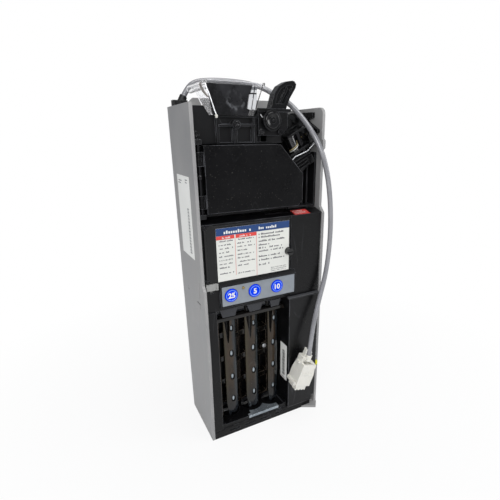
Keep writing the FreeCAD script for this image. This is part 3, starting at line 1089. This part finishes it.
def power_cord():
    path, radii = cord_path()
    first = V(*CORD_POINTS[1]) - V(*CORD_POINTS[0])
    section = Part.Wire(Part.Circle(V(*CORD_POINTS[0]), first, CORD_D / 2).toShape())
    tube = path.makePipeShell([section], True, False)
    print("cord radii:", [round(r, 1) for r in radii])
    print("cord volume against section x length:",
          tube.Volume / (math.pi * CORD_D ** 2 / 4 * path.Length))
    return tube


PLUG_TILT = 16.5                     # the plug hangs with its foot to the left
PLUG_LEAN = 7.0                      # and a little forward
PLUG_TURN = -3.0                     # and is turned about its own axis
PLUG_NECK = 8.0                      # half width where the plug begins
PLUG_BODY = 9.5                      # half width of the plug's body
PLUG_TOP = -9.0                      # heights along the plug's axis, from the cord's end
PLUG_WAIST = -21.0
PLUG_FOOT = -36.5
PLUG_END = -43.0


def at_plug(shape):
    """Set a shape made below the origin, hanging along -Z, at the end of the cord."""
    turned = shape.copy()
    turned.rotate(V(0, 0, 0), V(0, 0, 1), PLUG_TURN)
    turned.rotate(V(0, 0, 0), V(0, 1, 0), PLUG_TILT)
    turned.rotate(V(0, 0, 0), V(1, 0, 0), PLUG_LEAN)
    turned.translate(V(*CORD_POINTS[-1]))
    return turned


def square(half, z):
    corners = [V(-half, -half, z), V(half, -half, z), V(half, half, z), V(-half, half, z)]
    return Part.makePolygon(corners + corners[:1])


def connector():
    """White nylon plug housing: strain relief, flared shoulders and an open foot."""
    n, b = PLUG_NECK, PLUG_BODY
    flare = Part.makeLoft([square(n, PLUG_TOP), square(b, PLUG_WAIST)], True)
    body = box(-b, b, -b, b, PLUG_FOOT, PLUG_WAIST)
    rear = box(-n, n, 2.8, n, PLUG_TOP, -2.5)
    shoulder = box(-n, -2.6, -1.5, n, PLUG_TOP, -2.5)
    collar = box(n - 2.5, n + 1.6, -n, n - 2, PLUG_TOP - 4.5, PLUG_TOP)
    wing = box(-b - 2.6, 4, -b + 2, b - 1, PLUG_FOOT, PLUG_FOOT + 3.4)
    ear = box(-b - 0.8, -n + 1, 0, 5.5, PLUG_TOP - 2.4, PLUG_TOP)
    foot = box(-b + 2.2, b - 3, -b + 1.6, b - 2, PLUG_END, PLUG_FOOT)
    teeth = [box(x, x + 1.8, -b, b, PLUG_END - 1, PLUG_END + 1.5) for x in (-5.2, -0.8, 3.4)]
    mouth = box(-5.2, 5.4, -5.4, 1.4, PLUG_TOP - 7, PLUG_TOP + 1)
    divider = box(-0.6, 0.6, -5.4, 1.4, PLUG_TOP - 7, PLUG_TOP - 1)
    cavity = box(-b + 4, b - 5, -b + 3.4, b - 4, PLUG_END - 1, PLUG_FOOT + 6)
    end = V(*CORD_POINTS[-1])
    way = V(*CORD_POINTS[-1]) - V(*CORD_POINTS[-2])
    way.normalize()
    neck = rod(CORD_D / 2 + 0.5, tuple(end), tuple(end + way * 7))
    tab = box(-CORD_D / 2 - 2.6, -CORD_D / 2 - 0.5, 0.5, 5.5, -9, 7)
    prong = box(CORD_D / 2 + 0.6, CORD_D / 2 + 2.0, 1.5, 6.5, -6, 3)
    whole = joined(flare, body, rear, shoulder, collar, wing, ear, foot, tab, prong)
    whole = joined(whole.cut(teeth + [mouth, cavity]), divider)
    sleeve = rod(CORD_D / 2 + 0.5, tuple(end), tuple(end - way * 20))
    return joined(at_plug(whole).cut(sleeve), neck)


def connector_pins():
    z0, z1 = PLUG_END + 2.5, PLUG_FOOT + 6
    pins = [box(x - 0.5, x + 0.5, y - 0.5, y + 0.5, z0, z1) for x in (-3, 0, 3) for y in (-3, 2.5)]
    return at_plug(Part.Compound(pins))


PIECES = {
    "housing": housing, "cord_gland": cord_gland, "side_label": side_label,
    "inspection_dot": inspection_dot, "acceptor_body": acceptor_body, "hopper_plate": hopper_plate,
    "hopper_funnel": hopper_funnel, "hopper_clip": hopper_clip, "return_chute": return_chute,
    "wall_bracket": wall_bracket, "lever_bracket": lever_bracket, "lever_spring": lever_spring,
    "return_lever": return_lever, "hinge_rod": hinge_rod, "gate_cover": gate_cover,
    "solenoid_frame": solenoid_frame, "gate_coil": gate_coil, "gate_plunger": gate_plunger,
    "gate_comb": gate_comb, "plunger_spring": plunger_spring, "coin_sensors": coin_sensors,
    "acceptor_board": acceptor_board, "module_screws": module_screws, "control_case": control_case,
    "service_door": service_door, "door_pin": door_pin, "door_label": door_label,
    "door_knob": door_knob, "button_fascia": button_fascia, "status_led": status_led,
    "button_springs": button_springs, "button_board": button_board,
    "cassette_latch": cassette_latch, "latch_spring": latch_spring, "main_board": main_board,
    "transformer": transformer, "board_parts": board_parts, "sill_sticker": sill_sticker,
    "bay_frame": bay_frame, "right_panel": right_panel, "coin_chutes": coin_chutes,
    "tube_cassette": tube_cassette, "cassette_screw": cassette_screw,
    "payout_base": payout_base, "payout_plate": payout_plate, "payout_coils": payout_coils,
    "coil_bracket": coil_bracket, "power_cord": power_cord, "connector": connector,
    "connector_pins": connector_pins,
}

os.makedirs("parts", exist_ok=True)
for name, make in PIECES.items():
    make().exportStep("parts/" + name + ".step")
for name, (x, coin), sides, button_x in zip(("quarter", "nickel", "dime"), TUBES, STRIP_SIDES, BUTTON_XS):
    coin_tube(x, coin, *sides).exportStep("parts/" + name + "_tube.step")
    payout_slide(x, coin).exportStep("parts/" + name + "_slide.step")
    payout_button(button_x).exportStep("parts/" + name + "_button.step")
